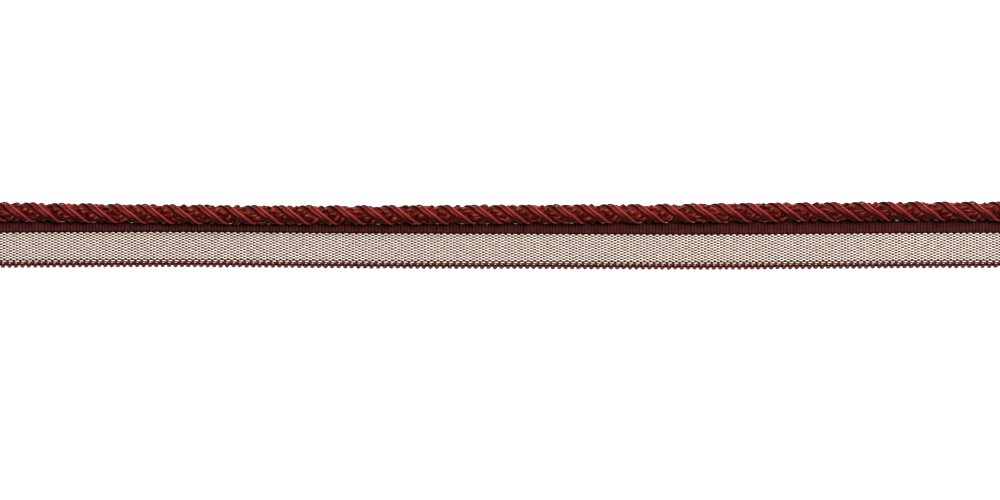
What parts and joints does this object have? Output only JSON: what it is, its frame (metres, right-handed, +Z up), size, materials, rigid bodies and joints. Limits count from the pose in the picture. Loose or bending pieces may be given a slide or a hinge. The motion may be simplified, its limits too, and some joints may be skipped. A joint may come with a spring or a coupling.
{
  "type": "cut length of lip cord",
  "caption": "Twisted upholstery cord held along the edge of a narrow woven tape, the lip by which it is sewn into a seam.",
  "frame": {"origin": "middle of the length and of the full width, on the flat surface that tape and cord lie on", "axes": "+X along the length, +Y across towards the cord, +Z up out of the tape's face"},
  "size_m": [0.305, 0.0198, 0.0049],
  "materials": {
    "cord": "dark red twisted yarn with a soft sheen",
    "lip_tape": "cream warps over dark red weft, woven"
  },
  "bodies": {
    "root": {"cord": "cord", "lip_tape": "lip_tape"}
  },
  "joints": []
}
